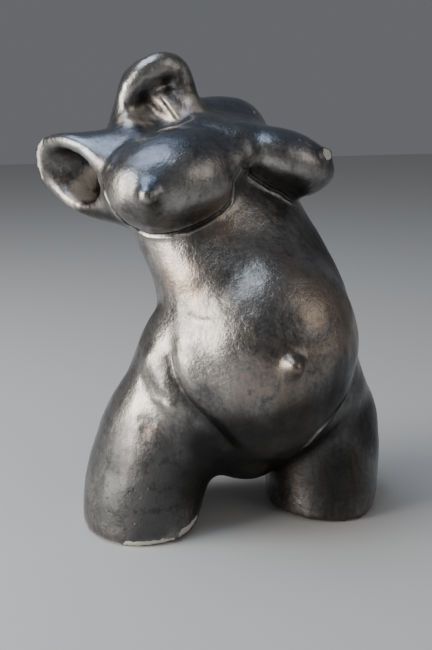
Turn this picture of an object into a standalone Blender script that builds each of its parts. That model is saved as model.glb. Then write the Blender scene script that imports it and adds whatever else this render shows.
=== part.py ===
"""Hollow fired-clay torso of a pregnant woman, without head or arms, standing on the cut ends of its thighs.

The figure faces -Y, its left side is at +X, and its thigh rims stand on Z = 0.
Its form is written in hundredths of its own height, so HEIGHT sets the size of the whole figure.
The clay walls and the rounding of their rims are real sizes of their own.
"""
import math

import bmesh
import bpy
import numpy as np
from mathutils import Euler, Matrix, Vector
from mathutils.bvhtree import BVHTree

# Driving dimensions, in metres
HEIGHT = 0.320
WALL = 0.0085
ARM_WALL = 0.0100
RIM_ROUND = 0.0031
CLAY_GRAIN = 0.0022

# How many triangles carry the finished form
TRIANGLES = 9600

# How far joints between lumps of clay are rubbed smooth, in hundredths of the height
BROAD_RUB = 2.6
CHEST_RUB = 2.2
HOLLOW_RUB = 2.0
FINE_RUB = 1.2

# The points round one slice of the body, and round one slice of a limb
BODY_SIDES = 48
LIMB_SIDES = 40

# Level slices of the body, lowest first, in hundredths of the height and degrees.
# The thighs run below the floor, where they are later cut off flat.
TRUNK = [
    # z, x, y, half width, front, back, yaw
    (11, 2, 0, 13, 9, 11, 0),
    (18, 3, 0, 23, 16, 17, 0),
    (25, 4.5, 0, 27.5, 21, 19, 0),
    (33, 3.3, -1, 26.0, 23, 16, 0),
    (41, 3.1, -2, 23.4, 23, 13.5, 0),
    (49, 4.2, -2, 21.0, 21.5, 12.5, 2),
    (57, 2.2, 0, 20.6, 18, 13.5, 5),
    (65, -1.2, 3, 20.4, 14.5, 15, 8),
    (73, -4, 6, 20, 13, 15, 12),
    (80, -7, 9, 18, 10.5, 12.5, 15),
    (85, -9.5, 11.5, 11, 6, 9, 16),
]
RIGHT_THIGH = [
    (-9, -21, -2, 11, 13, 12.5, 0),
    (-4, -21, -1.8, 12, 14.2, 13.5, 0),
    (0, -20.8, -1.4, 12.4, 14.5, 14, 0),
    (8, -19.1, -0.3, 13.3, 14.8, 15, 0),
    (16, -16.2, 0.5, 14.1, 15, 16, 0),
    (24, -13.2, 1.0, 14.1, 15.5, 14.5, 0),
    (32, -9.6, 0, 14.0, 14, 10, 0),
]
LEFT_THIGH = [
    (-9, 20.8, -3.6, 11.0, 13, 12.5, 0),
    (-4, 21.0, -3.2, 11.8, 14.2, 13.5, 0),
    (0, 21.2, -2.8, 12.2, 14.6, 14, 0),
    (9, 22.1, -1.4, 12.9, 14.8, 15, 0),
    (17, 21.8, 0, 13.4, 15, 16, 0),
    (24, 19.9, 1.0, 14.3, 15.5, 14.5, 0),
    (32, 15.0, 0, 14.3, 14, 10, 0),
]

# Limbs, as stations along their middle lines
RIGHT_ARM = [
    # x, y, z, radius
    (-7, 6.5, 75, 11.5),
    (-17, 7.2, 74, 11.2),
    (-25, 8.6, 74.4, 9.4),
    (-33, 10.6, 74.7, 8.5),
    (-43, 13.6, 75.0, 8.4),
]
LEFT_ARM = [
    (-5, 12, 79, 9.5),
    (3.8, 15.6, 82, 8.6),
    (8.4, 20, 80.8, 7.9),
    (15, 29, 76, 7.4),
]
NECK = [
    (-9.5, 11, 75, 13),
    (-11.8, 13.0, 83, 11.5),
    (-11.9, 14.6, 87.5, 9.3),
    (-11.4, 15.6, 91.5, 8.3),
    (-10.4, 15.8, 95.2, 7.0),
    (-10.2, 15.6, 98.4, 4.6),
]
HOOD_LIP = [
    (-20.0, 12.2, 86.5, 2.0),
    (-18.7, 10.0, 91.0, 2.5),
    (-15.8, 8.8, 94.9, 2.9),
    (-12.3, 8.9, 96.6, 3.1),
    (-9.1, 9.9, 96.5, 2.8),
    (-7.2, 10.4, 93.5, 2.7),
    (-6.6, 9.4, 89.5, 3.0),
    (-5.8, 7.4, 85.4, 3.0),
]
THROAT_RIDGE = [
    (-14.6, 11.4, 92.2, 1.4),
    (-13.0, 9.8, 90.6, 1.9),
    (-10.0, 7.4, 87.6, 2.2),
    (-7.0, 5.2, 84.0, 2.3),
]

# Lumps of clay: x, y, z, then the radii across, deep and tall, then turns about X, Y and Z
BELLY = (5, -8, 38, 20.5, 20, 24)
HIPS = [
    (-8.5, 8.5, 21, 14.5, 12, 13),
    (16, 9, 21, 13.5, 11.5, 13),
    (2.5, -5, 16, 9, 8, 8),
]
UPPER_CHEST = [
    (-1.5, 4.5, 79.5, 19, 9, 7.5, (0, 3, 15)),
    (4.0, 0.6, 80.0, 13, 8.5, 5.6, (0, 12, 10)),
]
BREASTS = [
    (-13.4, -3.4, 74.4, 14.6, 12.5, 10.2, (0, -14, 14)),
    (-3.6, -4.0, 77.4, 7.4, 7.0, 5.2, (0, -24, 6)),
    (11.6, -3.0, 77.6, 11.4, 8.5, 6.2, (0, 20, 4)),
    (15.2, -2.4, 75.2, 6.4, 6.6, 5.8),
]
KNOBS = [
    (-21.3, -14.3, 72.2, 2.5, 2.8, 2.8),
    (18.8, -8.0, 79.2, 1.7, 1.6, 1.6),
    (3.8, -28.0, 40.1, 2.4, 3.2, 2.6),
]
# The middle of the ground that the figure takes up, which becomes the origin
MIDDLE = (-1.3, -2.3)

NECK_SCOOP = (-14.0, 4.4, 89.2, 7.2, 7.9, 5.4, (30, 0, 0))

# Where each arm ends: a point on the cut, the way the cut faces, and how far the cut reaches
RIGHT_ARM_CUT = ((-31.6, 8.6, 75.4), (-0.85, -0.47, -0.23), 34)
LEFT_ARM_CUT = ((9.6, 22, 79), (0.6, 0.79, -0.1), 30)
FOOT_CUT = ((0, 0, 0), (0, 0, -1), 120)

# Folds pressed into the clay: the points of each, its half width and its depth
FOLDS = {
    "right groin": ([(-16.0, -9.6, 43.8), (-15.8, -11.6, 40.8), (-15.3, -13.6, 36.1), (-13.6, -16.1, 31.4),
                     (-10.8, -18.0, 27.1), (-6.9, -18.4, 22.0), (-3.0, -16.0, 17.5)], 1.7, 1.3),
    "left groin": ([(25.5, -14.0, 39.0), (22.8, -17.0, 34.5), (19.6, -18.6, 29.6), (15.6, -18.6, 25),
                    (11.8, -16, 19.5), (9.0, -12, 14.5)], 1.5, 1.4),
    "waist": ([(-14.2, -6.5, 50.0), (-16.2, -1.5, 48.0), (-17.0, 4.5, 47.0)], 1.6, 0.6),
    "spine": ([(-4.0, 22, 70), (1.0, 17, 60), (4.5, 12.5, 50), (4.6, 13, 42), (3.6, 17, 33)], 2.0, 0.8),
    "seat": ([(3.4, 19, 30), (3.2, 22, 24), (3.0, 21, 18), (3.0, 16, 13)], 1.7, 1.8),
}

GLAZE_COLOUR = (0.12, 0.115, 0.11, 1)
GLAZE_METALLIC = 0.85
GLAZE_ROUGHNESS = 0.38


def at(x, y, z):
    """A point of the figure, given in hundredths of its height."""
    return Vector((x, y, z)) * (HEIGHT / 100)


def smooth_between(values, steps):
    """Points of a Catmull-Rom curve through rows of numbers, with that many steps to each span."""
    rows = np.array(values, float)
    rows = np.vstack([2 * rows[0] - rows[1], rows, 2 * rows[-1] - rows[-2]])
    made = []
    for k in range(1, len(rows) - 2):
        before, start, end, after = rows[k - 1:k + 3]
        for t in np.arange(steps) / steps:
            made.append(0.5 * (2 * start + (end - before) * t
                               + (2 * before - 5 * start + 4 * end - after) * t ** 2
                               + (3 * start - before - 3 * end + after) * t ** 3))
    made.append(rows[-2])
    return made


def level_ring(z, x, y, half_width, front, back, yaw):
    """The points round one level slice of the body, an oval with its own depth before and behind."""
    turn = Matrix.Rotation(math.radians(yaw), 3, "Z")
    ring = []
    for angle in (math.tau * k / BODY_SIDES for k in range(BODY_SIDES)):
        depth = front if math.sin(angle) < 0 else back
        ring.append(at(x, y, z) + turn @ at(half_width * math.cos(angle), depth * math.sin(angle), 0))
    return ring


def tube_rings(path, inset):
    """The points round each slice of a limb, with its radius made smaller by a real inset."""
    stations = smooth_between(path, 4)
    centres = [at(*station[:3]) for station in stations]
    rings = []
    for k, (centre, station) in enumerate(zip(centres, stations)):
        along = centres[min(k + 1, len(centres) - 1)] - centres[max(k - 1, 0)]
        facing = along.to_track_quat("Z", "Y")
        radius = at(station[3], 0, 0).x - inset
        angles = (math.tau * n / LIMB_SIDES for n in range(LIMB_SIDES))
        rings.append([centre + facing @ Vector((math.cos(a), math.sin(a), 0)) * radius for a in angles])
    return rings


def skin(rings):
    """A closed tube through rings of points, with a flat face over each end."""
    bm = bmesh.new()
    loops = []
    for ring in rings:
        verts = [bm.verts.new(point) for point in ring]
        loops.append([bm.edges.new((verts[k - 1], verts[k])) for k in range(len(verts))])
    for low, high in zip(loops, loops[1:]):
        bmesh.ops.bridge_loops(bm, edges=low + high)
    for loop in (loops[0], loops[-1]):
        bmesh.ops.edgeloop_fill(bm, edges=loop)
    bmesh.ops.recalc_face_normals(bm, faces=bm.faces)
    return bm


def body_loft(levels):
    return skin([level_ring(*level) for level in smooth_between(levels, 4)])


def limb(path, inset=0.0):
    return skin(tube_rings(path, inset))


def lump(x, y, z, across, deep, tall, turn=(0, 0, 0)):
    """An egg of clay."""
    bm = bmesh.new()
    facing = Euler([math.radians(angle) for angle in turn]).to_matrix().to_4x4()
    size = Matrix.Diagonal((*at(across, deep, tall), 1))
    place = Matrix.Translation(at(x, y, z)) @ facing @ size
    bmesh.ops.create_icosphere(bm, subdivisions=4, radius=1, matrix=place)
    return bm


def beyond(point, facing, reach):
    """A block that fills the space past a cut, turned to face the way the cut faces."""
    bm = bmesh.new()
    turn = Vector(facing).to_track_quat("Z", "Y").to_matrix().to_4x4()
    size = Matrix.Diagonal((*at(reach, reach, reach), 1))
    bmesh.ops.create_cube(bm, size=1, matrix=Matrix.Translation(at(*point)) @ turn @ size
                          @ Matrix.Translation((0, 0, 0.5)))
    return bm


def object_of(name, bm):
    mesh = bpy.data.meshes.new(name)
    bm.to_mesh(mesh)
    bm.free()
    made = bpy.data.objects.new(name, mesh)
    bpy.context.scene.collection.objects.link(made)
    return made


def evaluated(obj):
    """The form that an object's modifiers leave, as a bmesh, and the object itself removed."""
    graph = bpy.context.evaluated_depsgraph_get()
    bm = bmesh.new()
    bm.from_mesh(bpy.data.meshes.new_from_object(obj.evaluated_get(graph)))
    bpy.data.objects.remove(obj)
    bm.normal_update()
    return bm


def fuse(forms, rub):
    """Joins overlapping closed forms into one skin and rubs it smooth over a length in metres."""
    joined = bmesh.new()
    for form in forms:
        mesh = bpy.data.meshes.new("form")
        form.to_mesh(mesh)
        joined.from_mesh(mesh)
    clay = object_of("clay", joined)
    remesh = clay.modifiers.new("one skin", "REMESH")
    remesh.mode = "VOXEL"
    remesh.voxel_size = CLAY_GRAIN
    remesh.adaptivity = 0
    smooth = clay.modifiers.new("rub smooth", "SMOOTH")
    smooth.factor = 0.5
    smooth.iterations = max(1, round((rub / CLAY_GRAIN) ** 2))
    return evaluated(clay)


def carve(form, cutters):
    """Takes each closed cutter out of a closed form."""
    body = object_of("body", form)
    tools = [object_of("cutter", cutter) for cutter in cutters]
    for tool in tools:
        cut = body.modifiers.new("cut", "BOOLEAN")
        cut.operation = "DIFFERENCE"
        cut.object = tool
    made = evaluated(body)
    for tool in tools:
        bpy.data.objects.remove(tool)
    return made


def set_in(form, depth):
    """The same form with its whole surface set in by one depth."""
    inner = form.copy()
    for vert, inward in [(v, v.normal * -depth) for v in inner.verts]:
        vert.co += inward
    return inner


def press_fold(form, path, half_width, depth):
    """Presses a groove along a smooth path that is first laid onto the surface, fading out at both ends."""
    tree = BVHTree.FromBMesh(form)
    line = np.array([tree.find_nearest(at(*point))[0] for point in smooth_between(path, 6)])
    places = np.array([vert.co for vert in form.verts])
    away = np.full(len(places), np.inf)
    run = np.zeros(len(places))
    for k, (start, end) in enumerate(zip(line, line[1:])):
        along = end - start
        t = np.clip((places - start) @ along / (along @ along), 0, 1)
        distance = np.linalg.norm(places - start - t[:, None] * along, axis=1)
        run = np.where(distance < away, (k + t) / (len(line) - 1), run)
        away = np.minimum(away, distance)
    fade = np.clip(np.minimum(run, 1 - run) * 5, 0, 1)
    amount = np.exp(-(away / at(half_width, 0, 0).x) ** 2) * fade * fade * (3 - 2 * fade)
    for vert, share in zip(form.verts, amount * at(depth, 0, 0).x):
        vert.co -= vert.normal * share


def trunk_form():
    """Trunk, belly, hips and thighs as one smooth lump."""
    lofts = [body_loft(levels) for levels in (TRUNK, RIGHT_THIGH, LEFT_THIGH)]
    return fuse(lofts + [lump(*BELLY)] + [lump(*hip) for hip in HIPS], at(BROAD_RUB, 0, 0).x)


def hollow_form(trunk):
    """The space inside: the trunk set in by its wall, running out through both arms and both thighs."""
    arms = [limb(RIGHT_ARM, ARM_WALL), limb(LEFT_ARM, ARM_WALL)]
    return fuse([set_in(trunk, WALL)] + arms, at(HOLLOW_RUB, 0, 0).x)


def outer_form(trunk):
    """The outside, with the cut arms, the hooded neck, the breasts, the small knobs and the folds."""
    shoulders = [limb(RIGHT_ARM), limb(LEFT_ARM), limb(NECK)] + [lump(*chest) for chest in UPPER_CHEST]
    bust = fuse([trunk] + shoulders, at(CHEST_RUB, 0, 0).x)
    bust = carve(bust, [lump(*NECK_SCOOP), beyond(*RIGHT_ARM_CUT), beyond(*LEFT_ARM_CUT)])
    details = [limb(HOOD_LIP), limb(THROAT_RIDGE)] + [lump(*egg) for egg in BREASTS + KNOBS]
    figure = fuse([bust] + details, at(FINE_RUB, 0, 0).x)
    for path, half_width, depth in FOLDS.values():
        press_fold(figure, path, half_width, depth)
        figure.normal_update()
    return figure


def torso_form():
    """The whole shell, its rims rounded, cut off flat where it stands, with its middle over the origin."""
    trunk = trunk_form()
    shell = carve(outer_form(trunk.copy()), [hollow_form(trunk)])
    standing = carve(fuse([shell], RIM_ROUND), [beyond(*FOOT_CUT)])
    bmesh.ops.translate(standing, vec=-at(*MIDDLE, 0), verts=standing.verts)
    return standing


def glaze():
    """Dark metallic lustre glaze."""
    made = bpy.data.materials.new("lustre glaze")
    made.use_nodes = True
    shader = made.node_tree.nodes["Principled BSDF"]
    shader.inputs["Base Color"].default_value = GLAZE_COLOUR
    shader.inputs["Metallic"].default_value = GLAZE_METALLIC
    shader.inputs["Roughness"].default_value = GLAZE_ROUGHNESS
    return made


def main():
    for obj in list(bpy.data.objects):
        bpy.data.objects.remove(obj)
    torso = object_of("torso", torso_form())
    torso.data.shade_smooth()
    torso.data.materials.append(glaze())
    fewer = torso.modifiers.new("fewer triangles", "DECIMATE")
    fewer.ratio = min(1, TRIANGLES / sum(len(face.vertices) - 2 for face in torso.data.polygons))


main()
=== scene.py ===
# %% [markdown]
# # A lustre-glazed clay torso
#
# The object is a hand-built figure of a pregnant woman, about a foot high, made of fired clay.
# It is hollow, it has no head, and its arms and thighs end in open cuts.
# A dark lustre glaze makes the clay look like old metal: graphite, with painted shade in the hollows, silver and bronze
# where it was burnished, with painted highlights laid on, and a painted blue reflection of the sky where it faces up.
#
# The imported model holds the true form, so the first step is to load it and to measure its box.

# %% Load the imported model
import math

import bmesh
import bpy
import numpy as np
from mathutils import Matrix, Vector, noise
from mathutils.bvhtree import BVHTree
from mathutils.kdtree import KDTree


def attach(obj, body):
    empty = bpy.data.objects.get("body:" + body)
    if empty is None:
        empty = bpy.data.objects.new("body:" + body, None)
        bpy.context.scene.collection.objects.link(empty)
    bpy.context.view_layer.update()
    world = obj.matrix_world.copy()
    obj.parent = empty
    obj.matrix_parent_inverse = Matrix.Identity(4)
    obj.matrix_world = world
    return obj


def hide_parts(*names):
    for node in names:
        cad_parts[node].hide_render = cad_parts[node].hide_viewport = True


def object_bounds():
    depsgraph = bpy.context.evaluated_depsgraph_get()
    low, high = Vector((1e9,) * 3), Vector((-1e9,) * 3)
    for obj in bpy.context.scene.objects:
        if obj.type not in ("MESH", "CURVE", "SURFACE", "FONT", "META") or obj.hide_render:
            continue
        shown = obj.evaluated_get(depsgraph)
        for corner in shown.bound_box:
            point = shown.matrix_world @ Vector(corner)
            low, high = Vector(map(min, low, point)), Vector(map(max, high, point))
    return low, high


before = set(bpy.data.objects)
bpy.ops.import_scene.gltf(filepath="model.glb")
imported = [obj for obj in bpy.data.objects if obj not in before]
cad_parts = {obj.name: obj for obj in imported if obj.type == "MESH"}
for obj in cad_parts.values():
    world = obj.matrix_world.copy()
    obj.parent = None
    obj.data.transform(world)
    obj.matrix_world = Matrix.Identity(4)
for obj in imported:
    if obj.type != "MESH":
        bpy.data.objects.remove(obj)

cad_low, cad_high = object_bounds()
print("CAD box", [round(v, 4) for v in cad_low], [round(v, 4) for v in cad_high])

# %% [markdown]
# ## One ruler for the whole figure
#
# A sculptor measures a figure against itself, so places on it are written in hundredths of its height:
# x runs to the figure's left, y to its back and z up from the floor.
# Tool marks, grooves and chips are real sizes, and those stay in millimetres.

# %% Places and sizes
HEIGHT = 0.320
UNIT = HEIGHT / 100
MM = 0.001
MIDDLE = (-1.3, -2.3)


def at(x, y, z):
    """A place on the figure, from hundredths of its height to metres."""
    return Vector((x - MIDDLE[0], y - MIDDLE[1], z)) * UNIT


# %% [markdown]
# ## Camera
#
# The photograph looks at the figure from its right front, a little above its shoulders and tipped down.
# The lens is given as a focal length in the photograph's pixels, which a 36 mm sensor turns into millimetres.

# %% Camera
LENS_PIXELS = 993
LONG_SIDE_PIXELS = 650
SENSOR = 36
CAMERA_TURN = math.radians(-18)
CAMERA_TILT = math.radians(14)
CAMERA_PLACE = Vector((-0.0087, -0.6696, 0.3016))

camera = bpy.data.objects.new("camera", bpy.data.cameras.new("camera"))
camera.data.sensor_width = SENSOR
camera.data.lens = LENS_PIXELS / LONG_SIDE_PIXELS * SENSOR
camera.location = at(0, 0, 0) + Matrix.Rotation(CAMERA_TURN, 3, "Z") @ CAMERA_PLACE
camera.rotation_euler = (math.radians(90) - CAMERA_TILT, 0, CAMERA_TURN)
bpy.context.scene.collection.objects.link(camera)
bpy.context.scene.camera = camera
print("camera", [round(v, 3) for v in camera.location], "lens", round(camera.data.lens, 1))

# %% [markdown]
# ## Floor and light
#
# A dark lustre shows mostly what it mirrors, so the lights are wide and soft, and they do the modelling:
# a large warm panel low on the left, whose reflection runs down the belly and the hip, a cool one overhead,
# and a faint one that keeps the right side readable.

# %% Floor, sky and lights
FLOOR_SIZE = 6
FLOOR_COLOUR = (0.66, 0.655, 0.64, 1)
FLOOR_ROUGHNESS = 0.8
SKY_COLOUR = (0.62, 0.64, 0.68, 1)
SKY_STRENGTH = 0.22
LIGHT_TARGET = at(0, 0, 50)
LIGHTS = {
    # name: place, width, height, watts, colour
    "panel": ((-1.20, -0.02, 0.42), 0.80, 0.80, 20, (1.0, 0.965, 0.92)),
    "overhead": ((-0.45, 0.05, 1.35), 1.10, 0.80, 9, (0.74, 0.85, 1.0)),
    "fill": ((0.95, -0.90, 0.70), 0.90, 0.90, 2.5, (1.0, 0.95, 0.90)),
}

floor_form = bmesh.new()
bmesh.ops.create_grid(floor_form, x_segments=1, y_segments=1, size=FLOOR_SIZE / 2)
floor_mesh = bpy.data.meshes.new("floor")
floor_form.to_mesh(floor_mesh)
floor_form.free()
floor = bpy.data.objects.new("floor", floor_mesh)
bpy.context.scene.collection.objects.link(floor)

floor_paint = bpy.data.materials.new("floor paint")
floor_paint.use_nodes = True
floor_paint.node_tree.nodes["Principled BSDF"].inputs["Base Color"].default_value = FLOOR_COLOUR
floor_paint.node_tree.nodes["Principled BSDF"].inputs["Roughness"].default_value = FLOOR_ROUGHNESS
floor_mesh.materials.append(floor_paint)

sky = bpy.data.worlds.new("sky")
sky.use_nodes = True
sky.node_tree.nodes["Background"].inputs["Color"].default_value = SKY_COLOUR
sky.node_tree.nodes["Background"].inputs["Strength"].default_value = SKY_STRENGTH
bpy.context.scene.world = sky

for name, (place, width, height, watts, colour) in LIGHTS.items():
    light = bpy.data.lights.new(name, "AREA")
    light.shape = "RECTANGLE"
    light.size = width
    light.size_y = height
    light.energy = watts
    light.color = colour
    lamp = bpy.data.objects.new(name, light)
    lamp.location = place
    lamp.rotation_euler = (LIGHT_TARGET - Vector(place)).to_track_quat("-Z", "Y").to_euler()
    bpy.context.scene.collection.objects.link(lamp)
print("lights", ", ".join(LIGHTS))

# %% [markdown]
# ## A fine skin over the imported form
#
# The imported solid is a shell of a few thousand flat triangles. Sculptors who work in Blender wrap such a
# form in an even net of small faces (a voxel remesh) and rub it until the facets are gone.
# The inside of the shell is seen only through the cut arms, so its faces are merged into larger ones:
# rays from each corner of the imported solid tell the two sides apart, because inside the shell nearly
# every ray meets a wall. The dish under the neck's hood lies above the shoulders and counts as outside.

# %% Which corners lie inside the shell
SPHERE_RAYS = 40
INSIDE_SHARE = 0.80
SHOULDER_TOP = at(0, 0, 84.5).z
RAY_START = 0.5 * MM
OUTER_SIDE = 0.2
NEAREST_CORNERS = 4
INSIDE_BORDER = (0.08, 0.10)


def even_directions(count):
    """Directions spread evenly over a sphere, along a spiral."""
    golden = math.pi * (3 - math.sqrt(5))
    heights = [1 - (k + 0.5) * 2 / count for k in range(count)]
    return [Vector((math.cos(k * golden) * math.sqrt(1 - z * z), math.sin(k * golden) * math.sqrt(1 - z * z), z))
            for k, z in enumerate(heights)]


def enclosure(form, directions):
    """For each corner, the share of the directions on its outer side that meet a wall."""
    tree = BVHTree.FromBMesh(form)
    shares = []
    for vert in form.verts:
        start = vert.co + vert.normal * RAY_START
        facing = [ray for ray in directions if ray.dot(vert.normal) > OUTER_SIDE]
        shares.append(sum(tree.ray_cast(start, ray)[0] is not None for ray in facing) / len(facing))
    return np.array(shares)


packed = bmesh.new()
packed.from_mesh(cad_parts["torso"].data)
bmesh.ops.remove_doubles(packed, verts=packed.verts, dist=0.001 * MM)
packed.normal_update()
packed_enclosure = enclosure(packed, even_directions(SPHERE_RAYS))
packed_places = KDTree(len(packed.verts))
for vert in packed.verts:
    packed_places.insert(vert.co, vert.index)
packed_places.balance()
print("packed corners", len(packed.verts), "inside", int((packed_enclosure > INSIDE_SHARE).sum()))


def inside_weights(points):
    """How far each point belongs to the inside, from 0 to 1, read from the nearest packed corners."""
    weights = []
    for point in points:
        near = packed_places.find_n(point, NEAREST_CORNERS)
        weights.append(np.mean([packed_enclosure[index] for _, index, _ in near]))
    below = np.array([point.z < SHOULDER_TOP for point in points])
    start, width = INSIDE_BORDER
    return np.clip((np.array(weights) - INSIDE_SHARE + start) / width, 0, 1) * below


# %% An even net, rubbed smooth, with fewer faces inside
NET = 2.1 * MM
RUBS = 9
INSIDE_KEPT = 0.22
SURELY_INSIDE = 0.99


def object_from(name, form):
    mesh = bpy.data.meshes.new(name)
    form.to_mesh(mesh)
    form.free()
    made = bpy.data.objects.new(name, mesh)
    bpy.context.scene.collection.objects.link(made)
    return made


def rub(form, passes, verts=None):
    """Rub corners smooth, all of them unless some are given."""
    for _ in range(passes):
        bmesh.ops.smooth_vert(form, verts=verts or form.verts, factor=0.5,
                              use_axis_x=True, use_axis_y=True, use_axis_z=True)


def baked(obj):
    """The form that the object's modifiers leave, as a bmesh, and the object itself removed."""
    form = bmesh.new()
    form.from_object(obj, bpy.context.evaluated_depsgraph_get())
    bpy.data.objects.remove(obj)
    return form


clay = object_from("clay", packed)
net = clay.modifiers.new("even net", "REMESH")
net.mode = "VOXEL"
net.voxel_size = NET
rubbed = baked(clay)
rub(rubbed, RUBS)
clay = object_from("clay", rubbed)
inner_weight = inside_weights([vert.co for vert in clay.data.vertices])
group = clay.vertex_groups.new(name="inside")
for index in np.nonzero(inner_weight > SURELY_INSIDE)[0]:
    group.add([int(index)], 1.0, "REPLACE")
fewer = clay.modifiers.new("fewer inside", "DECIMATE")
fewer.vertex_group = group.name
inner_share = (inner_weight > SURELY_INSIDE).mean()
fewer.ratio = float(1 - inner_share * (1 - INSIDE_KEPT))
skin = baked(clay)
print("net", len(skin.verts), "corners,", sum(len(face.verts) - 2 for face in skin.faces), "triangles,",
      round(inner_share * 100), "% inside before thinning")

# %% [markdown]
# ## Creases, and finer faces along them
#
# Fingers and a wooden tool left sharp lines where one mass of clay meets another: under the breasts, at the
# groins and at the waist. The net of faces is too coarse for them, so each crease is drawn as a path laid on
# the skin, it sinks into the deepest line nearby, and the faces along it are cut finer before any pressing.
# The groove at the throat was cut straight across the form with a tool, so its path stays as drawn.

# %% The paths of the creases
CREASES = {
    # name: (path in hundredths with its lip on the right, half width mm, depth mm, lip mm, how dark the painted shade
    # in it is)
    "under right breast": (((-27.2, 0.4, 76.0), (-26.8, -5.0, 71.8), (-24.5, -6.4, 66.9), (-20.1, -3.0, 63.6),
                            (-16.2, -8.1, 62.9), (-11.7, -10.5, 64.5), (-7.0, -10.7, 68.1), (-3.0, -10.8, 72.9),
                            (-0.6, -10.1, 77.3)), 1.1, 1.7, 0.6, 0.9),
    "under left breast": (((-0.6, -10.1, 77.2), (1.4, -7.6, 76.0), (3.1, -5.1, 75.2), (5.3, -5.9, 74.2),
                           (7.5, -5.5, 72.9), (10.2, -4.4, 71.0), (12.2, -4.0, 70.1), (15.2, -1.3, 68.8)),
                          1.0, 1.1, 0.6, 0.6),
    "right groin": (((-15.4, -14.4, 43.0), (-16.3, -12.8, 40.2), (-15.8, -15.3, 36.6), (-13.7, -16.5, 31.6),
                     (-10.5, -17.0, 26.7), (-6.4, -17.0, 22.4)), 3.4, 1.0, 0.0, 0.35),
    "left groin": (((8.6, -18.0, 17.6), (11.0, -22.6, 23.5), (15.1, -23.1, 28.1), (19.8, -20.8, 32.7),
                    (21.2, -19.9, 37.3)), 1.2, 1.5, 0.7, 0.7),
    "throat": (((-12.7, 7.4, 90.5), (-12.2, 6.8, 89.7), (-11.4, 5.9, 88.3), (-10.6, 5.2, 86.9), (-9.7, 4.4, 85.5)),
               0.9, 1.3, 0.0, 0.8),
}
DRAWN_FREELY = {"throat"}
LIP_HALF_WIDTH = 0.7
PATH_STEP = 0.6 * MM
SETTLE_REACH = 4.0 * MM
SETTLE_ROUNDS = 3
SETTLE_SOFTENING = 12
HOLLOW_RUBS = 7


def smooth_path(points, step):
    """Points at even steps along a soft curve through the given points."""
    ends = [points[0] * 2 - points[1], *points, points[-1] * 2 - points[-2]]
    made = []
    for a, b, c, d in zip(ends, ends[1:], ends[2:], ends[3:]):
        count = max(1, round((c - b).length / step))
        for k in range(count):
            t = k / count
            made.append(0.5 * (2 * b + (c - a) * t + (2 * a - 5 * b + 4 * c - d) * t ** 2
                               + (3 * b - a - 3 * c + d) * t ** 3))
    return made + [points[-1]]


def laid_on(tree, points):
    return [tree.find_nearest(point)[0] for point in points]


def corner_tree(points):
    tree = KDTree(len(points))
    for index, point in enumerate(points):
        tree.insert(point, index)
    tree.balance()
    return tree


def settled(path, tree, places, hollowness):
    """The path sunk sideways into the most hollow line of the skin nearby."""
    for _ in range(SETTLE_ROUNDS):
        moved = []
        for point in path:
            near = places.find_range(point, SETTLE_REACH)
            pull = [(co, max(hollowness[index], 0) ** 2 + 1e-6) for co, index, _ in near]
            total = sum(weight for _, weight in pull)
            moved.append(sum((co * weight for co, weight in pull), Vector()) / total if pull else point)
        for _ in range(SETTLE_SOFTENING):
            moved = [moved[0]] + [(a + b * 2 + c) / 4 for a, b, c in zip(moved, moved[1:], moved[2:])] + [moved[-1]]
        path = laid_on(tree, moved)
    return path


skin.normal_update()
skin_tree = BVHTree.FromBMesh(skin)
skin_places = corner_tree([vert.co for vert in skin.verts])
blurred = skin.copy()
rub(blurred, HOLLOW_RUBS)
hollowness = [(soft.co - vert.co).dot(vert.normal) / MM for vert, soft in zip(skin.verts, blurred.verts)]
blurred.free()
crease_paths = {}
for name, (points, *_) in CREASES.items():
    laid = laid_on(skin_tree, smooth_path([at(*point) for point in points], PATH_STEP))
    crease_paths[name] = laid if name in DRAWN_FREELY else settled(laid, skin_tree, skin_places, hollowness)
    print(name, round(sum((b - a).length for a, b in zip(crease_paths[name], crease_paths[name][1:])) / MM), "mm")

# %% Finer faces along the creases and round the knobs
KNOBS = {
    # name: (place in hundredths, radius mm)
    "right nipple": ((-21.9, -17.0, 73.4), 10.0),
    "left nipple": ((18.1, -9.2, 79.4), 6.5),
    "navel": ((2.5, -29.7, 41.5), 10.0),
}
KNOB_RAYS = 60
REFINE_RUBS = 3
WIDE_REFINE = 5.0 * MM
NEAR_REFINE = 2.6 * MM


def refine(form, markers, reach):
    """Cut each edge near the markers in two, and let the new corners settle."""
    near = corner_tree(markers)
    close = {vert for vert in form.verts if near.find(vert.co)[2] < reach}
    edges = [edge for edge in form.edges if edge.verts[0] in close and edge.verts[1] in close]
    bmesh.ops.subdivide_edges(form, edges=edges, cuts=1, use_grid_fill=True)
    fresh = [vert for vert in form.verts if near.find(vert.co)[2] < reach * 0.9]
    rub(form, REFINE_RUBS, fresh)


crease_points = [point for path in crease_paths.values() for point in path]
knob_points = [at(*place) + ray * radius * MM * 0.8
               for place, radius in KNOBS.values() for ray in even_directions(KNOB_RAYS)]
refine(skin, crease_points + knob_points, WIDE_REFINE)
refine(skin, crease_points, NEAR_REFINE)
print("refined to", sum(len(face.verts) - 2 for face in skin.faces), "triangles")

# %% [markdown]
# ## Pressing and raising the clay
#
# From here on the skin is shaped as a sculptor would: each stroke moves only the corners near it,
# along the skin's own outward direction. A crease is a sharp valley with a lip of pushed-up clay beside it.

# %% The skin as arrays
skin_mesh = bpy.data.meshes.new("torso_glazed")
skin.to_mesh(skin_mesh)
skin.free()
skin_mesh.shade_smooth()


def read_vectors(collection, name):
    values = np.empty(len(collection) * 3, dtype=np.float32)
    collection.foreach_get(name, values)
    return values.reshape(-1, 3).astype(float)


def outward():
    """Each corner's outward direction on the skin as it now stands."""
    skin_mesh.vertices.foreach_set("co", clay_points.astype(np.float32).ravel())
    skin_mesh.update()
    return read_vectors(skin_mesh.vertex_normals, "vector")


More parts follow.
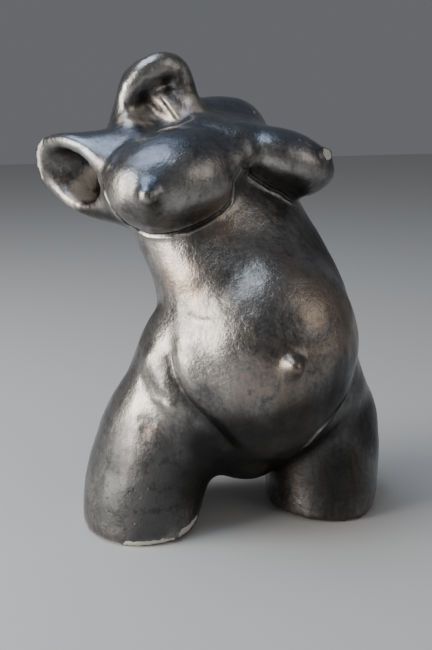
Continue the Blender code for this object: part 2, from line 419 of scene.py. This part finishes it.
clay_points = read_vectors(skin_mesh.vertices, "co")
corner_count = len(clay_points)
pairs = np.empty(len(skin_mesh.edges) * 2, dtype=np.int32)
skin_mesh.edges.foreach_get("vertices", pairs)
pairs = pairs.reshape(-1, 2)
degree = np.bincount(pairs.ravel(), minlength=corner_count)[:, None]


def averaged(values, passes):
    """Values spread along the edges of the net."""
    values = values.reshape(corner_count, -1)
    for _ in range(passes):
        summed = np.column_stack([
            np.bincount(pairs[:, 0], column[pairs[:, 1]], corner_count)
            + np.bincount(pairs[:, 1], column[pairs[:, 0]], corner_count) for column in values.T])
        values = (values + summed / degree) / 2
    return values


def beside(path, reach):
    """Corners within reach of a path: their indices, distances in mm, side of it and place along it."""
    spine = np.array(path)
    low, high = spine.min(0) - reach, spine.max(0) + reach
    boxed = np.nonzero(((clay_points > low) & (clay_points < high)).all(1))[0]
    tree = corner_tree(path)
    found = [tree.find(clay_points[index]) for index in boxed]
    nearest = np.array([hit[1] for hit in found])
    distance = np.array([hit[2] for hit in found])
    kept = distance < reach
    boxed, nearest, distance = boxed[kept], nearest[kept], distance[kept]
    along = np.gradient(spine, axis=0)[nearest]
    side = np.einsum("ij,ij->i", np.cross(along, normals[boxed]), clay_points[boxed] - spine[nearest])
    return boxed, distance / MM, np.sign(side), nearest / (len(path) - 1)


# %% Bumps and dents left by the hands
HAND_MARKS = (
    # (place in hundredths, radius mm, height mm)
    ((-19.4, -8.6, 38.5), 12, 1.4), ((-21.6, -8.2, 34.0), 8, -1.2), ((-22.8, -7.2, 28.6), 14, 1.5),
    ((-21.4, -10.8, 24.4), 6, -0.9), ((-16.6, -13.2, 29.5), 7, 0.9), ((-14.0, -12.5, 46.5), 10, 0.9),
    ((-17.5, -10.8, 33.0), 6, -0.7), ((-18.5, 9.2, 92.5), 5, 0.8), ((-14.0, 7.2, 95.4), 5, -0.6),
    ((-9.5, 7.6, 95.8), 5, 0.6), ((-6.0, 6.6, 88.6), 6, 0.7), ((9.0, -12.0, 12.0), 7, 0.9),
    ((-11.0, -14.5, 53.0), 14, -0.8), ((6.0, -22.0, 57.0), 16, 0.7), ((-28.0, -8.0, 14.0), 11, -0.8),
)
normals = outward()
for place, radius, height in HAND_MARKS:
    centre = np.array(skin_tree.find_nearest(at(*place))[0])
    distance = np.linalg.norm(clay_points - centre, axis=1) / (radius * MM)
    clay_points += normals * (np.exp(-(distance * 1.4) ** 2) * height * MM)[:, None]
print("hand marks", len(HAND_MARKS))

# %% Ridges and strokes
STROKES = (
    # (path in hundredths, half width mm, height mm)
    (((-21.6, 9.0, 86.4), (-20.9, 7.6, 85.9), (-19.9, 6.2, 85.6), (-17.9, 5.8, 85.3), (-15.6, 6.4, 85.3),
      (-13.6, 6.4, 85.6)), 2.6, 1.3),
    (((-9.2, 7.6, 94.7), (-7.8, 7.7, 92.7), (-6.8, 6.8, 90.7), (-5.8, 5.8, 88.6), (-4.9, 4.4, 87.0)), 3.4, 0.9),
    (((-35.3, 12.0, 82.0), (-32.0, 6.5, 81.9), (-28.7, 2.4, 80.9)), 4.0, 0.8),
    (((-36.4, 16.0, 80.5), (-36.6, 17.0, 77.1), (-36.2, 18.0, 73.8)), 3.0, 0.7),
    (((-19.5, -8.0, 41.0), (-21.0, -8.0, 37.0), (-21.8, -8.5, 33.0)), 3.2, 0.8),
    (((-15.0, -12.8, 50.5), (-12.0, -15.8, 49.0), (-8.5, -19.0, 49.4)), 2.6, -0.35),
    (((-14.5, -12.4, 49.2), (-11.5, -16.0, 47.6), (-8.0, -20.0, 48.0)), 2.4, 0.35),
    (((-20.5, -10.5, 31.0), (-17.5, -13.0, 30.4), (-15.6, -14.8, 28.6)), 2.8, 0.8),
    (((-23.8, -8.6, 25.6), (-21.4, -11.0, 26.2), (-19.4, -12.6, 24.8)), 2.0, -0.7),
)
for points, half_width, height in STROKES:
    normals = outward()
    path = laid_on(skin_tree, smooth_path([at(*point) for point in points], PATH_STEP))
    corners, distance, _, along = beside(path, half_width * 3 * MM)
    fade = np.clip(np.minimum(along, 1 - along) * 4, 0, 1)
    raised = np.exp(-(distance / half_width) ** 2) * fade * height
    clay_points[corners] += normals[corners] * (raised * MM)[:, None]
print("strokes", len(STROKES))

# %% Hand-worked unevenness
UNEVEN = ((34, 0.95), (15, 0.42), (7, 0.15), (3.4, 0.05))
normals = outward()
uneven = np.zeros(corner_count)
for wavelength, height in UNEVEN:
    scale = 1 / (wavelength * MM)
    uneven += [height * noise.noise(Vector(point) * scale) for point in clay_points]
clay_points += normals * (uneven * MM)[:, None]
print("unevenness", round(uneven.min(), 2), "to", round(uneven.max(), 2), "mm")

# %% The creases
creased = np.zeros(corner_count)
painted_lip_highlight = np.zeros(corner_count)
for name, (_, half_width, depth, lip, darkness) in CREASES.items():
    normals = outward()
    corners, distance, side, along = beside(crease_paths[name], half_width * 5 * MM)
    fade = np.clip(np.minimum(along, 1 - along) * 7, 0, 1)
    wobble = np.array([noise.noise(Vector(clay_points[index]) / (7 * MM)) for index in corners])
    valley = np.clip(1 - distance / (half_width * (1.6 + 0.5 * wobble)), 0, 1) ** 1.4 * depth
    ridge = np.exp(-((distance - half_width - 1.2) / LIP_HALF_WIDTH) ** 2) * (side > 0) * (0.8 + 0.7 * wobble)
    clay_points[corners] += normals[corners] * ((ridge * lip - valley) * fade * MM)[:, None]
    # painted shade along each crease, by how dark
    np.maximum.at(creased, corners, np.clip(1.3 - distance / half_width, 0, 1) * fade * darkness)
    # painted highlight along the crease lips
    np.maximum.at(painted_lip_highlight, corners, ridge * fade * lip)
print("creased corners", int((creased > 0).sum()))

# %% [markdown]
# ## Nipples and navel
#
# Each knob was rolled separately, pressed on and rubbed in, so it is uneven, with a soft dent round its foot.

# %% The knobs
normals = outward()
for name, (place, radius) in KNOBS.items():
    centre = np.array(at(*place))
    nearby = np.nonzero(np.linalg.norm(clay_points - centre, axis=1) < radius * 2.2 * MM)[0]
    axis = normals[nearby].mean(0)
    axis /= np.linalg.norm(axis)
    offset = clay_points[nearby] - centre
    ring = np.linalg.norm(offset - np.outer(offset @ axis, axis), axis=1) / (radius * MM)
    lumps = np.array([noise.noise(Vector(point) / (8 * MM)) for point in clay_points[nearby]])
    dent = np.exp(-((ring - 1.0) / 0.3) ** 2) * 0.35 + np.exp(-(ring / 1.1) ** 4) * lumps * 0.4
    crown = np.exp(-(ring / 0.5) ** 2) * 0.6
    clay_points[nearby] += (normals[nearby] * -dent[:, None] + np.outer(crown, axis)) * MM
    print(name, "shaped", len(nearby), "corners")

# %% [markdown]
# ## Chips and bare clay
#
# The glaze has flaked off at the thin edges. A chip is a small facet: the corners inside an uneven outline
# are pulled down to one plane, and the facet is marked as bare so that the finish shows pale clay there.

# %% Chips
CHIPS = (
    # (places along the chip in hundredths, radius mm, depth mm, how bare)
    (((18.6, -10.0, 79.2),), 4.4, 1.2, 1.0),
    (((11.6, -9.0, 82.4), (13.2, -9.0, 81.7), (15.2, -9.2, 80.7)), 1.5, 0.5, 0.55),
    (((10.1, 12.1, 86.8),), 1.7, 0.4, 1.0),
    (((-37.3, 16.4, 81.8), (-37.3, 17.2, 79.0), (-37.3, 18.2, 76.4), (-37.1, 19.0, 73.6)), 4.6, 1.0, 0.75),
    (((-26.8, -13.8, 0.3), (-23.4, -15.2, 0.3), (-20.4, -15.6, 0.3), (-17.4, -15.2, 0.3)), 3.4, 0.9, 1.0),
    (((-14.7, -14.0, 1.6), (-12.7, -12.6, 1.9), (-10.6, -10.2, 2.4)), 3.2, 1.0, 1.0),
)
normals = outward()
bare = np.zeros(corner_count)
for places, radius, depth, bareness in CHIPS:
    spread = [at(*place) for place in places]
    line = laid_on(skin_tree, smooth_path(spread, radius / 2 * MM) if len(spread) > 1 else spread)
    tree = corner_tree(line)
    hits = [tree.find(point) for point in clay_points]
    distance = np.array([hit[2] for hit in hits]) / MM
    nearby = np.nonzero(distance < radius * 1.8)[0]
    offset = clay_points[nearby] - np.array([hits[index][0] for index in nearby])
    ragged = np.array([noise.noise(Vector(clay_points[index]) / (2.6 * MM)) for index in nearby])
    reach = distance[nearby] / (radius * (1 + 0.45 * ragged))
    facing = normals[nearby][reach < 1].mean(0)
    facing /= np.linalg.norm(facing)
    drop = np.clip(offset @ facing / MM + depth, 0, depth * 1.6) * np.clip((1.0 - reach) * 5, 0, 1)
    clay_points[nearby] -= np.outer(drop * MM, facing)
    np.maximum.at(bare, nearby, np.clip((1.0 - reach) * 4, 0, 1) * bareness)
print("bare corners", int((bare > 0.5).sum()))

# %% [markdown]
# ## Standing on the floor
#
# Rubbing the net lifted the thigh rims a little. The lowest centimetre is drawn back down to the floor,
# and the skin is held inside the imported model's box.

# %% Down to the floor and inside the box
RIM_BAND = 12 * MM
lifted = clay_points[:, 2].min()
clay_points[:, 2] -= lifted * np.clip(1 - clay_points[:, 2] / RIM_BAND, 0, 1)
clay_points = np.clip(clay_points, np.array(cad_low), np.array(cad_high))
normals = outward()
print("rims were", round(lifted / MM, 2), "mm above the floor")

# %% [markdown]
# ## Marks for the finish
#
# The finish depends on where it is: painted shade darkens creases, hollows, the inside and surfaces that face down,
# edges are rubbed bright and the crease lips get a painted highlight, surfaces that face up get a painted blue
# reflection of the sky, and some places are warm bronze, partly real tint and partly painted warm highlight. Each of
# these marks is stored on the corners as a number from 0 to 1, so that the pattern belongs to the surface and stays
# with it in every view.

# %% Marks on the corners
SOFT_SPOTS = {
    # bronze and warm highlight: partly real bronze tint, partly warm highlights painted into the colour
    "bronze_and_warm_highlight": (((2.5, -29.5, 40.0), 9), ((14.0, -24.0, 52.0), 11), ((18.0, -20.0, 45.0), 9), ((9.2, -7.1, 10.0), 6),
             ((9.1, -19.6, 19.3), 5), ((-7.2, 6.0, 88.0), 5), ((-27.0, 12.6, 69.8), 6), ((-14.0, -12.0, 55.0), 7),
             ((8.0, -22.0, 60.0), 7), ((-6.0, -12.0, 66.0), 5)),
    # blue patches, mostly a painted blue reflection of the sky on surfaces that face up
    "blue_patch_and_sky_reflection": (((-30.0, 5.0, 81.0), 7), ((-14.0, -4.0, 84.0), 9), ((5.0, 13.0, 89.0), 7), ((-21.0, -14.0, 77.0), 5),
             ((8.0, -4.0, 84.0), 8), ((22.0, -12.0, 36.0), 4)),
    # painted highlight and burnish: spots where highlights are painted into the colour, some of them also real
    # burnishing
    "painted_highlight_and_burnish_spots": (((-17.0, -8.0, 61.0), 7), ((-13.0, -12.0, 56.0), 8), ((-9.0, -19.5, 47.5), 8), ((-23.0, -6.0, 29.5), 6),
               ((-21.0, -9.5, 28.0), 5), ((-18.0, -10.0, 44.0), 6), ((12.0, -22.0, 23.0), 4),
               ((-15.0, 7.5, 96.0), 7), ((-20.5, 9.0, 91.0), 5), ((-2.0, -22.0, 52.0), 9),
               ((1.0, -15.0, 60.0), 9), ((5.0, -20.0, 55.0), 8), ((-1.0, -11.0, 66.0), 7),
               ((8.0, -8.0, 78.0), 5), ((-12.0, -14.0, 74.0), 6), ((11.0, -23.0, 27.5), 4)),
    "matt": (((-26.0, -12.0, 9.0), 9), ((-20.0, -13.0, 14.0), 8), ((-28.0, -6.0, 16.0), 7)),
    # painted shade: listed places darkened as if in shade, on the low belly, between and on the thighs, on the left
    # flank and under the right arm's opening
    "dark": (((6.0, -26.5, 27.0), 8), ((-2.0, -20.0, 25.0), 8), ((14.0, -23.0, 31.0), 7), ((3.0, -14.0, 17.0), 9),
             ((-10.0, -13.0, 12.0), 9), ((-8.0, -16.0, 20.0), 7), ((20.0, -16.0, 10.0), 12), ((30.0, -12.0, 20.0), 10),
             ((27.0, -14.0, 30.0), 5), ((-28.5, 7.5, 66.3), 4), ((-26.3, 6.6, 65.4), 4), ((20.0, -6.0, 60.0), 8)),
    # painted highlight: pale spots along the lower lip of the dish under the hood, on the throat ridge and the column
    # beside it, and on the lower inner wall of the right arm
    "pale": (((-20.9, 7.6, 86.0), 1.6), ((-19.4, 6.2, 85.6), 1.8), ((-17.4, 6.4, 85.4), 1.8), ((-15.4, 7.2, 85.6), 1.6),
             ((-12.6, 5.6, 86.4), 2.0), ((-10.9, 6.0, 87.6), 2.2), ((-12.6, 7.2, 90.0), 1.6),
             ((-15.5, 9.4, 86.6), 2.6), ((-18.2, 8.6, 86.4), 2.4), ((-6.4, 6.2, 89.6), 2.0), ((-5.6, 5.2, 87.6), 2.2),
             ((-31.5, 12.1, 69.4), 2.6), ((-29.7, 12.4, 69.7), 3.2), ((-28.0, 12.3, 69.7), 3.2),
             ((-29.0, 14.0, 71.2), 3.0), ((-27.1, 14.6, 72.4), 3.0), ((-26.1, 14.8, 73.7), 2.6)),
    "brown": (((-20.9, -11.8, 24.4), 1.3),),
}
CURVATURE_PASSES = 5
RIM_MARK_HEIGHT = 9 * MM
curvature = np.einsum("ij,ij->i", averaged(clay_points, CURVATURE_PASSES) - clay_points, normals) / MM
marks = {
    # inside: also painted shade inside the shell
    "inside": inside_weights([Vector(point) for point in clay_points]),
    "bare": bare,
    # crevice: painted shade in creases and concave hollows
    "crevice": np.clip(np.maximum(creased, curvature * 1.2 - 0.15), 0, 1),
    # edge: rubbed wear on convex edges, and a painted highlight along the crease lips
    "edge": np.clip(np.maximum(painted_lip_highlight * 1.8, -curvature * 3.0 - 0.25), 0, 1),
    # upward: drives the painted blue reflection of the sky
    "upward": np.clip(normals[:, 2], 0, 1),
    # downward: painted shade under surfaces that face down
    "downward": np.clip(-normals[:, 2] * 1.3 - 0.1, 0, 1),
    "rim": np.clip(1 - clay_points[:, 2] / RIM_MARK_HEIGHT, 0, 1),
}
for name, spots in SOFT_SPOTS.items():
    marks[name] = np.zeros(corner_count)
    for place, radius in spots:
        distance = np.linalg.norm(clay_points - np.array(at(*place)), axis=1) / UNIT
        marks[name] = np.maximum(marks[name], np.exp(-(distance / radius) ** 2))
for name, values in marks.items():
    stored = skin_mesh.attributes.new(name, "FLOAT", "POINT")
    stored.data.foreach_set("value", averaged(values, 1).astype(np.float32).ravel())
    print(name, round(float(values.mean()), 3), end="; ")
print()

# %% [markdown]
# ## Shader maths as arithmetic
#
# A small class wraps a node's output, so that sums on surface patterns read as ordinary arithmetic,
# and one method adds every other kind of node.

# %% Tools for the finish
class Value:
    """Something that varies over the surface; arithmetic on it adds Math nodes."""

    def __init__(self, paint, socket):
        self.paint = paint
        self.socket = socket

    def maths(self, operation, first, second):
        return self.paint.node("ShaderNodeMath", {"operation": operation}, {0: first, 1: second})

    def __add__(self, other):
        return self.maths("ADD", self, other)

    def __sub__(self, other):
        return self.maths("SUBTRACT", self, other)

    def __rsub__(self, other):
        return self.maths("SUBTRACT", other, self)

    def __mul__(self, other):
        return self.maths("MULTIPLY", self, other)


class Paint:
    """A material whose nodes are added one by one."""

    def __init__(self, name):
        self.material = bpy.data.materials.new(name)
        self.material.use_nodes = True
        self.tree = self.material.node_tree
        self.surface = self.tree.nodes["Principled BSDF"]
        self.place = self.node("ShaderNodeTexCoord", output="Object")

    def node(self, kind, settings=None, sockets=None, output=0):
        """Add a node: its settings first, then the numbers or links of its sockets."""
        made = self.tree.nodes.new(kind)
        for name, setting in (settings or {}).items():
            setattr(made, name, setting)
        for name, value in (sockets or {}).items():
            self.join(value, made.inputs[name])
        return Value(self, made.outputs[output])

    def join(self, value, socket):
        if isinstance(value, Value):
            self.tree.links.new(value.socket, socket)
        else:
            socket.default_value = value

    def grain(self, size_mm, detail=4.0, roughness=0.6, distortion=0.0, place=None):
        """Cloudy noise with features of about the given size."""
        return self.node("ShaderNodeTexNoise", None,
                         {"Vector": place or self.place, "Scale": 1000 / size_mm, "Detail": detail,
                          "Roughness": roughness, "Distortion": distortion})

    def step(self, value, low, high):
        """0 below low, 1 above high and a soft rise between."""
        return self.node("ShaderNodeMapRange", {"interpolation_type": "SMOOTHSTEP"},
                         {"Value": value, "From Min": low, "From Max": high})

    def mark(self, name):
        return self.node("ShaderNodeAttribute", {"attribute_name": name}, output="Fac")

    def tint(self, amount, under, over):
        """One colour laid over another, by amount."""
        return self.node("ShaderNodeMix", {"data_type": "RGBA"}, {0: amount, 6: under, 7: over}, output=2)

    def stretched(self, x, y, z):
        return self.node("ShaderNodeMapping", None, {"Vector": self.place, "Scale": (x, y, z)})

    def set(self, name, value):
        self.join(value, self.surface.inputs[name])


# %% [markdown]
# ## The lustre glaze
#
# A lustre is a film of reduced metal on a dark glaze. It is near black in random sooty patches, silver where a tool
# burnished it, bronze where the film is thin and blue in random patches, all in cloudy patches with ragged borders.
# Painted light and shade are laid over these: painted highlights at listed spots, on the crease lips and among the
# bronze, a painted blue reflection of the sky on surfaces that face up, and painted shade in the creases, the hollows,
# inside the shell, under surfaces that face down and at listed dark places. The colour of a metal is the colour of its
# reflection, so the patches go into Base Color, and the burnishing goes into Roughness.

# %% Patches of the glaze
glaze = Paint("lustre glaze")
clouds = glaze.grain(62, detail=5.0, roughness=0.62, distortion=0.5)
blotches = glaze.grain(17, detail=9.0, roughness=0.68, distortion=0.35)
flecks = glaze.grain(2.6, detail=3.0, roughness=0.7)
strokes = glaze.grain(9, detail=5.0, roughness=0.6, distortion=1.2, place=glaze.stretched(1.0, 1.0, 0.28))

patchy = clouds * 0.34 + blotches * 0.30 + flecks * 0.16 + strokes * 0.20
# burnish with painted highlight: random burnishing, raised by the painted highlight spots and the crease lips, lowered
# in the painted shade of the creases
burnish_and_painted_highlight = glaze.step(patchy + glaze.mark("painted_highlight_and_burnish_spots") * 0.10 + glaze.mark("edge") * 0.12
                       - glaze.mark("matt") * 0.08 - glaze.mark("crevice") * 0.14, 0.42, 0.68)
# bronze, partly real tint and partly painted warm highlight
bronze_and_warm_highlight = glaze.step(blotches * 0.6 + clouds * 0.2 + flecks * 0.2 + glaze.mark("bronze_and_warm_highlight") * 0.24, 0.54, 0.78)
# blue: random blue patches plus a painted reflection of the sky on surfaces that face up
blue_patch_and_sky_reflection = glaze.step(blotches * 0.35 + clouds * 0.30 + glaze.mark("blue_patch_and_sky_reflection") * 0.30 + glaze.mark("upward") * 0.24, 0.44, 0.74)
print("patches of the glaze made")

# %% Colour of the glaze
GRAPHITE = (0.085, 0.081, 0.080, 1)
SILVER = (0.400, 0.378, 0.350, 1)
BRONZE = (0.350, 0.245, 0.165, 1)
PALE_TAN_HIGHLIGHT = (0.560, 0.490, 0.410, 1)
STEEL_BLUE = (0.150, 0.190, 0.265, 1)
# near black, used for random soot and for painted shade
SOOT_AND_SHADE_BLACK = (0.020, 0.018, 0.017, 1)
MATT_GREY = (0.115, 0.114, 0.110, 1)
BURNT_BROWN = (0.120, 0.070, 0.048, 1)
BARE_CLAY = (0.640, 0.590, 0.520, 1)

# silver where burnished and where a highlight is painted
colour = glaze.tint(burnish_and_painted_highlight, GRAPHITE, SILVER)
colour = glaze.tint(bronze_and_warm_highlight * (burnish_and_painted_highlight * 0.55 + 0.28), colour, BRONZE)
colour = glaze.tint(blue_patch_and_sky_reflection * 0.60, colour, STEEL_BLUE)
colour = glaze.tint(glaze.mark("matt") * 0.6, colour, MATT_GREY)
sooty = glaze.step(glaze.grain(9, detail=7.0, roughness=0.72) + glaze.mark("matt") * 0.10, 0.58, 0.70)
colour = glaze.tint(sooty * 0.5, colour, SOOT_AND_SHADE_BLACK)
# painted shade: darker under surfaces that face down and at the listed dark places
shaded = glaze.step(glaze.mark("downward") * 0.6 + glaze.mark("dark") * 0.9 + (blotches - 0.5) * 0.7, 0.10, 0.90)
colour = glaze.tint(shaded * 0.9, colour, SOOT_AND_SHADE_BLACK)
# painted highlight: pale tan spots laid into the colour, less metallic
painted_pale_highlight = glaze.step(glaze.mark("pale") + (flecks - 0.5) * 0.5, 0.2, 0.9)
colour = glaze.tint(painted_pale_highlight * 0.85, colour, PALE_TAN_HIGHLIGHT)
# painted shade in the creases and hollows
colour = glaze.tint(glaze.mark("crevice") * 0.7, colour, SOOT_AND_SHADE_BLACK)
# painted shade inside the shell
colour = glaze.tint(glaze.mark("inside") * 0.35, colour, SOOT_AND_SHADE_BLACK)
brown = glaze.step(glaze.mark("rim") * 0.75 + blotches * 0.5, 0.55, 0.90)
colour = glaze.tint(brown * 0.8 + glaze.mark("brown") * 0.9, colour, BURNT_BROWN)
bare_clay = glaze.step(glaze.mark("bare") + (flecks - 0.5) * 0.5, 0.35, 0.65)
colour = glaze.tint(bare_clay, colour, BARE_CLAY)
glaze.set("Base Color", colour)
print("colour of the glaze joined")

# %% Gloss and relief of the glaze
GLAZE_IOR = 1.6
COAT_ROUGHNESS = 0.16
GRAIN_HEIGHTS = ((5.0, 0.19), (1.8, 0.10), (0.8, 0.04))

metal = 0.96 - bare_clay * 0.96 - glaze.mark("matt") * 0.30 - brown * 0.45 - painted_pale_highlight * 0.50
glaze.set("Metallic", glaze.step(metal, 0.0, 1.0))
glaze.set("Roughness", 0.38 - burnish_and_painted_highlight * 0.08 + (flecks - 0.5) * 0.24 + glaze.mark("matt") * 0.16
          + glaze.mark("crevice") * 0.12 + glaze.mark("inside") * 0.08 + bare_clay * 0.35)
glaze.set("Coat Weight", 0.45 - bare_clay * 0.45 - glaze.mark("matt") * 0.25 - shaded * 0.30)
glaze.set("Coat Roughness", COAT_ROUGHNESS)
glaze.set("IOR", GLAZE_IOR)

relief = (strokes - 0.5) * 0.10
for size, height in GRAIN_HEIGHTS:
    relief = relief + (glaze.grain(size, detail=3.0) - 0.5) * height * 2
pits = glaze.node("ShaderNodeTexVoronoi", None, {"Vector": glaze.place, "Scale": 1000 / 5.0}, output="Distance")
pitted = (1 - glaze.step(pits, 0.10, 0.22)) * glaze.step(glaze.grain(12) + glaze.mark("matt") * 0.4, 0.76, 0.90)
relief = relief - pitted * 0.35
glaze.set("Normal", glaze.node("ShaderNodeBump", None, {"Strength": 1.0, "Distance": 1 * MM, "Height": relief}))
print("gloss and relief joined")

# %% [markdown]
# ## The finished piece
#
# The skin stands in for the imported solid, rides on the part's one body and takes the glaze.

# %% Put the piece in place
skin_mesh.materials.append(glaze.material)
torso = bpy.data.objects.new("torso_glazed", skin_mesh)
bpy.context.scene.collection.objects.link(torso)
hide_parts("torso")
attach(torso, "root")

print("torso_glazed has", sum(len(face.vertices) - 2 for face in skin_mesh.polygons), "triangles")
